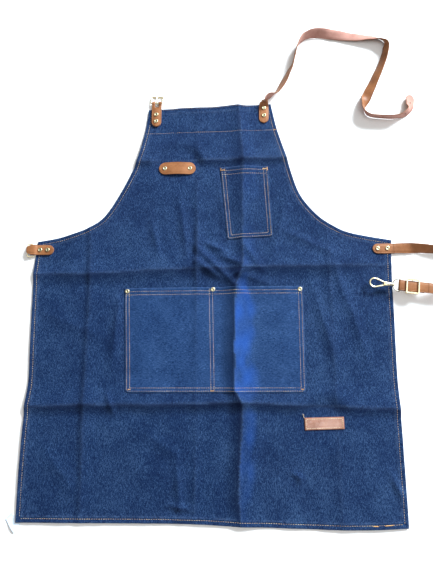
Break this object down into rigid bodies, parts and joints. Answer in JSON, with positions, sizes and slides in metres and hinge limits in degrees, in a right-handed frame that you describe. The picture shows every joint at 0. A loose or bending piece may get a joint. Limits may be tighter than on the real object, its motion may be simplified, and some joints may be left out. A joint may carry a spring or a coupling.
{
  "type": "bib apron",
  "caption": "Cross of bib and skirt in blue denim with a chest pocket, a divided lower pocket, riveted tan leather straps, a pin buckle, a waist ring and a swivel snap hook.",
  "frame": {"origin": "on the surface that the apron lies on, under the middle of its box, measured without the two free straps and what is on them", "axes": "+Y up the apron from the hem to the bib, +Z out of its front, +X to the right as the front is looked at"},
  "size_m": [1.0184, 0.9965, 0.0203],
  "materials": {
    "denim": "worn indigo twill, matt",
    "denim_reverse": "paler reverse of the twill, matt",
    "pocket_denim": "worn indigo twill with the slubs across, matt",
    "thread": "tan topstitching thread",
    "leather": "tan vegetable leather, satin, pale pink flesh side",
    "label_leather": "glossier tan leather, creased border",
    "satin_label": "woven satin, soft sheen",
    "pale_brass": "polished pale gold plate",
    "rivet_brass": "polished pale gold plate with a dark dimple",
    "spring_steel": "drawn wire"
  },
  "bodies": {
    "apron": {"apron_panel": "denim", "bib_facing": "denim_reverse", "left_armhole_hem": "denim_reverse", "right_armhole_hem": "denim_reverse", "bottom_hem": "denim_reverse", "left_side_hem": "denim_reverse", "right_side_hem": "denim_reverse", "chest_pocket": "pocket_denim", "lower_pocket": "pocket_denim", "pocket_bar_tacks": "thread", "chest_tab": "leather", "leather_label": "label_leather", "care_label": "satin_label", "neck_tab": "leather", "waist_tab": "leather", "neck_strap_anchor": "leather", "waist_strap_anchor": "leather", "neck_strap": "leather", "waist_strap": "leather", "strap_end_loop": "leather", "neck_tab_rivet_caps": "rivet_brass", "neck_tab_rivet_backs": "rivet_brass", "waist_tab_rivet_caps": "rivet_brass", "waist_tab_rivet_backs": "rivet_brass", "neck_anchor_rivet_caps": "rivet_brass", "neck_anchor_rivet_backs": "rivet_brass", "waist_anchor_rivet_caps": "rivet_brass", "waist_anchor_rivet_backs": "rivet_brass", "chest_tab_rivet_caps": "rivet_brass", "chest_tab_rivet_backs": "rivet_brass", "pocket_rivet_caps": "rivet_brass", "pocket_rivet_backs": "rivet_brass"},
    "neck_buckle": {"neck_buckle_frame": "pale_brass"},
    "neck_prong": {"neck_buckle_prong": "pale_brass"},
    "waist_ring": {"waist_ring": "pale_brass"},
    "slider": {"strap_slider": "pale_brass"},
    "hook_eye": {"hook_eye": "pale_brass"},
    "hook": {"hook_body": "pale_brass", "gate_pin": "pale_brass", "gate_spring": "spring_steel"},
    "hook_gate": {"hook_gate": "pale_brass"}
  },
  "joints": [
    {"name": "neck_buckle_fold", "type": "hinge", "parent": "apron", "child": "neck_buckle", "pos_m": [-0.1075, 0.4105, 0.0042], "axis": [1, 0, 0], "range_deg": [0, 110]},
    {"name": "neck_prong_lift", "type": "hinge", "parent": "neck_buckle", "child": "neck_prong", "pos_m": [-0.1075, 0.4105, 0.0042], "axis": [1, 0, 0], "range_deg": [0, 45]},
    {"name": "waist_ring_swing", "type": "hinge", "parent": "apron", "child": "waist_ring", "pos_m": [-0.357, 0.0955, 0.0058], "axis": [0, 1, 0], "range_deg": [0, 200]},
    {"name": "slider_travel", "type": "slide", "parent": "apron", "child": "slider", "axis": [0.9936, -0.1132, 0], "range_m": [-0.002, 0.013]},
    {"name": "hook_eye_tilt", "type": "hinge", "parent": "apron", "child": "hook_eye", "pos_m": [0.3665, 0.0213, 0.0128], "axis": [0.1132, 0.9936, 0], "range_deg": [0, 100]},
    {"name": "hook_swivel", "type": "hinge", "parent": "hook_eye", "child": "hook", "pos_m": [0.34663, 0.02356, 0.0128], "axis": [0.9936, -0.1132, 0], "continuous": true},
    {"name": "hook_gate_press", "type": "hinge", "parent": "hook", "child": "hook_gate", "pos_m": [0.33887, 0.02616, 0.0128], "axis": [0, 0, 1], "range_deg": [0, 25], "stiffness_Nm_per_rad": 0.03}
  ]
}
